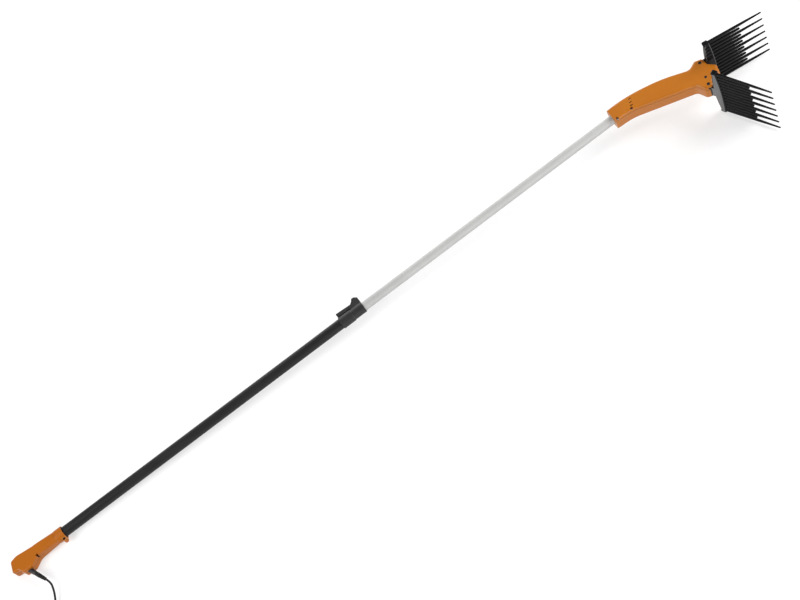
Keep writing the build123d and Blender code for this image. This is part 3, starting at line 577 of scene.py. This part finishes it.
# Power socket, plug and strain relief: a round socket in the handle's nose, the lead's moulded plug in it and
# the ribbed rubber sleeve that keeps the lead from kinking.
soft_rubber = new_finish("soft_rubber")
grain = patches(soft_rubber, 1800.0, 0.3, 0.75)
bloom = patches(soft_rubber, 40.0, 0.4, 0.75)
soft_rubber.feed("Base Color", blend_colours(bloom * 0.7, (0.008, 0.008, 0.0085), (0.014, 0.0137, 0.0135)))
soft_rubber.feed("Roughness", 0.50 + grain * 0.12 + bloom * 0.05)
soft_rubber.feed("Specular IOR Level", 0.25)
raise_surface(grain, 0.00002)
eased_copy("power_socket", 0.0004, black_nylon, rubbed_nylon_and_highlight)
plug = eased_copy("power_plug", 0.0006, black_nylon, rubbed_nylon_and_highlight)
boot = eased_copy("cord_boot", 0.0004, soft_rubber, soft_rubber)

# Lead: a round two-core flex, six millimetres thick. It leaves the strain relief, drops to the ground and
# runs on to the rest of its length, which is put away in a coil of two layers and ends in a connector.
cord_diameter = 0.006
cord_start = (-1.19976, 0.03919, 0.01981)
route = [cord_start, (-1.19144, 0.02211, 0.02009), (-1.19388, 0.00252, 0.017), (-1.19988, -0.01648, 0.013),
         (-1.20938, -0.03498, 0.009), (-1.22088, -0.05398, 0.006), (-1.23338, -0.07348, 0.0045)]
tail = [(-1.26119, -0.11882, 0.0113), (-1.28305, -0.13767, 0.0083), (-1.31029, -0.15028, 0.0083)]
coil_centre = Vector((-1.28706, -0.06632, 0.0045))
coil_heading = radians(-125.18874)
coil_radius = 0.048
coil_step = 0.0034
coil_rise = 0.0068
layer_half_turns = 7
lower_layer = [coil_radius - coil_step * k for k in range(layer_half_turns)]
innermost = lower_layer[-1] - coil_step
upper_layer = [innermost + coil_step * (k + 2) for k in range(layer_half_turns)]
crossings = [(radius if k % 2 == 0 else -radius, 0.0 if k < layer_half_turns else coil_rise)
             for k, radius in enumerate(lower_layer + [innermost] + upper_layer)]
points_each = 8
pull = cos(pi / (2 * points_each))
coil = []
for k, ((first, low), (second, high)) in enumerate(zip(crossings, crossings[1:])):
    middle = (first + second) / 2
    reach = (first - second) / 2
    bulge = abs(reach) if k % 2 == 0 else -abs(reach)
    for step in range(points_each):
        share = (step + 0.5) / points_each
        coil.append(Vector((bulge * sin(pi * share) / pull, middle + reach * cos(pi * share) / pull,
                            low + (high - low) * share)))
coil_turn = Matrix.Rotation(coil_heading, 3, "Z")
lead_points = [Vector(point) for point in route] + [coil_centre + coil_turn @ point for point in coil]
lead_points += [Vector(point) for point in tail]
flex = bpy.data.curves.new("lead", "CURVE")
flex.dimensions = "3D"
flex.bevel_depth = cord_diameter / 2
flex.bevel_resolution = 6
flex.resolution_u = 6
flex.use_fill_caps = True
flex.materials.append(soft_rubber.material)
spline = flex.splines.new("NURBS")
spline.points.add(len(lead_points) - 1)
for point, place in zip(spline.points, lead_points):
    point.co = (*place, 1.0)
spline.order_u = 3
spline.use_endpoint_u = True
lead = bpy.data.objects.new("lead", flex)
bpy.context.scene.collection.objects.link(lead)
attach(lead, "pole_and_handle")
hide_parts("power_cord", "cord_coil", "cord_tail")

# Coil strap: a hook-and-loop strap round the coil, a band with rounded corners whose loose end lies on top as
# a tab.
strap_weave = new_finish("strap_weave")
loops = patches(strap_weave, 2500.0, 0.3, 0.7)
strap_weave.feed("Base Color", blend_colours(loops, (0.012, 0.012, 0.013), (0.035, 0.035, 0.036)))
strap_weave.feed("Roughness", 0.80 + loops * 0.12)
raise_surface(loops, 0.0002)
strap_middle = Vector((-1.26528, -0.03543, 0.0079))
strap_thickness = 0.0012
strap_width = 0.012
strap_corner = 0.0036
strap_length = 0.0336
tie_low, tie_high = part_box("coil_tie")
strap_height = tie_high[2] - tie_low[2]
tab_length = 0.018
tab_offset = 0.004
tab_edge = 0.0004
bpy.ops.object.select_all(action="DESELECT")
bpy.ops.mesh.primitive_cube_add(size=1.0, location=(0, 0, 0))
strap = bpy.context.active_object
strap.name = "coil_strap"
strap.scale = (strap_length, strap_width, strap_height)
bpy.ops.object.transform_apply(location=True, rotation=True, scale=True)
folds = []
for border in strap.data.edges:
    ends = [strap.data.vertices[end].co for end in border.vertices]
    if abs(ends[0].y - ends[1].y) > 0.5 * strap_width:
        folds.append(border.index)
bevel_edges(strap, folds, strap_corner, segments=6)
bpy.ops.object.mode_set(mode="EDIT")
bpy.ops.mesh.select_all(action="DESELECT")
bpy.ops.object.mode_set(mode="OBJECT")
for face in strap.data.polygons:
    face.select = abs(face.normal.y) > 0.9
bpy.ops.object.mode_set(mode="EDIT")
bpy.ops.mesh.select_mode(type="FACE")
bpy.ops.mesh.delete(type="FACE")
bpy.ops.object.mode_set(mode="OBJECT")
wall = strap.modifiers.new("wall", "SOLIDIFY")
wall.thickness = strap_thickness
wall.offset = -1.0
bpy.ops.object.modifier_apply(modifier=wall.name)
bpy.ops.object.select_all(action="DESELECT")
tab_place = (tab_offset, 0, strap_height / 2 + 0.45 * strap_thickness)
bpy.ops.mesh.primitive_cube_add(size=1.0, location=tab_place)
tab = bpy.context.active_object
tab.scale = (tab_length, 0.94 * strap_width, 0.9 * strap_thickness)
bpy.ops.object.transform_apply(location=True, rotation=True, scale=True)
bpy.ops.object.mode_set(mode="EDIT")
bpy.ops.mesh.select_all(action="SELECT")
bpy.ops.mesh.bevel(offset=tab_edge, segments=2, affect="EDGES")
bpy.ops.object.mode_set(mode="OBJECT")
joined([strap, tab])
strap.data.materials.append(strap_weave.material)
strap.matrix_world = Matrix.Translation(strap_middle) @ Matrix.Rotation(coil_heading, 4, "Z")
bpy.ops.object.transform_apply(location=True, rotation=True, scale=True)
bpy.ops.object.shade_smooth_by_angle(angle=corner_angle)
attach(strap, "pole_and_handle")
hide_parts("coil_tie")

# Battery connector: a round moulded plug on the lead's far end, with a ribbed neck, a grip with six grooves
# and a hollow barrel that goes into the battery.
connector_start = tail[-1]
connector_heading = radians(-155.17)
neck_radius = 0.0043
neck_rib_radius = 0.0050
neck_rib_pitch = 0.0026
grip_radius = 0.0080
groove_radius = 0.0074
groove_pitch = 0.0034
grip_start, grip_end = 0.0118, 0.0460
barrel_radius = 0.0040
barrel_end = 0.0600
bore_radius = 0.0026
bore_end = 0.0520
neck = [(0.0, 0.0034), (0.0004, neck_radius)]
for number in range(4):
    start = 0.0012 + neck_rib_pitch * number
    neck += [(start, neck_radius), (start + 0.0003, neck_rib_radius),
             (start + 0.0014, neck_rib_radius), (start + 0.0017, neck_radius)]
grip = [(grip_start, neck_radius), (grip_start + 0.0002, 0.0070), (grip_start + 0.0012, 0.0079),
        (grip_start + 0.0018, grip_radius)]
for number in range(6):
    start = 0.0190 + groove_pitch * number
    grip += [(start, grip_radius), (start + 0.0004, groove_radius),
             (start + 0.0014, groove_radius), (start + 0.0018, grip_radius)]
grip += [(grip_end - 0.0014, grip_radius), (grip_end - 0.0004, 0.0077), (grip_end, 0.0070),
         (grip_end, neck_radius)]
barrel = [(grip_end + 0.0002, barrel_radius), (barrel_end - 0.0008, barrel_radius),
          (barrel_end - 0.0001, 0.0037), (barrel_end, 0.0033), (barrel_end, bore_radius),
          (bore_end, bore_radius), (bore_end, 0.0004)]
connector = turned("battery_connector_dressed", neck + grip + barrel, 48, black_nylon)
set_at(connector, connector_start, (cos(connector_heading), sin(connector_heading), 0.0))
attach(connector, "pole_and_handle")
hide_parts("battery_connector")

# Studio: a pale floor lit from within, as a light table is, an even grey sky and four large soft lamps round
# the tool, seen from the camera's place.
bpy.ops.object.select_all(action="DESELECT")
bpy.ops.mesh.primitive_plane_add(size=40.0, location=(0, 0, 0))
floor = bpy.context.active_object
floor.name = "floor"
pale_floor = new_finish("pale_floor")
pale_floor.feed("Base Color", (0.5, 0.5, 0.5, 1.0))
pale_floor.feed("Roughness", 0.9)
pale_floor.feed("Specular IOR Level", 0.0)
pale_floor.feed("Emission Color", (1.0, 1.0, 1.0, 1.0))
pale_floor.feed("Emission Strength", 0.5)
floor.data.materials.append(pale_floor.material)

world = bpy.context.scene.world or bpy.data.worlds.new("sky")
bpy.context.scene.world = world
world.use_nodes = True
world.node_tree.nodes["Background"].inputs["Color"].default_value = (1.0, 1.0, 1.0, 1.0)
world.node_tree.nodes["Background"].inputs["Strength"].default_value = 0.28
handle_end_lamp = ((-3.6, -0.4, 2.6), 125.0, 2.5)
head_end_lamp = ((3.6, -0.4, 2.6), 145.0, 2.5)
back_lamp = ((0.3, 4.0, 1.4), 90.0, 3.0)
front_lamp = ((0.9, -4.0, 1.0), 66.0, 2.5)
for number, (spot, power, width) in enumerate((handle_end_lamp, head_end_lamp, back_lamp, front_lamp)):
    lamp = bpy.data.lights.new("lamp_" + str(number), "AREA")
    lamp.energy = power
    lamp.size = width
    lamp_place = bpy.data.objects.new(lamp.name, lamp)
    facing = Vector(spot).to_track_quat("Z", "Y").to_matrix().to_4x4()
    lamp_place.matrix_world = Matrix.Translation(spot) @ facing
    bpy.context.scene.collection.objects.link(lamp_place)

camera = bpy.data.cameras.new("camera")
camera.sensor_width = 36.0
camera.lens = 76.5
view = bpy.data.objects.new("camera", camera)
camera_place = (-0.1073, -2.39106, 4.00028)
camera_right = Vector((0.809595, -0.509777, -0.291005))
camera_up = Vector((0.586271, 0.677726, 0.443816))
camera_back = Vector((-0.029025, -0.529919, 0.847551))
camera_turn = Matrix((camera_right, camera_up, camera_back)).transposed().to_4x4()
view.matrix_world = Matrix.Translation(camera_place) @ camera_turn
bpy.context.scene.collection.objects.link(view)
bpy.context.scene.camera = view
bpy.context.scene.view_settings.view_transform = "Standard"
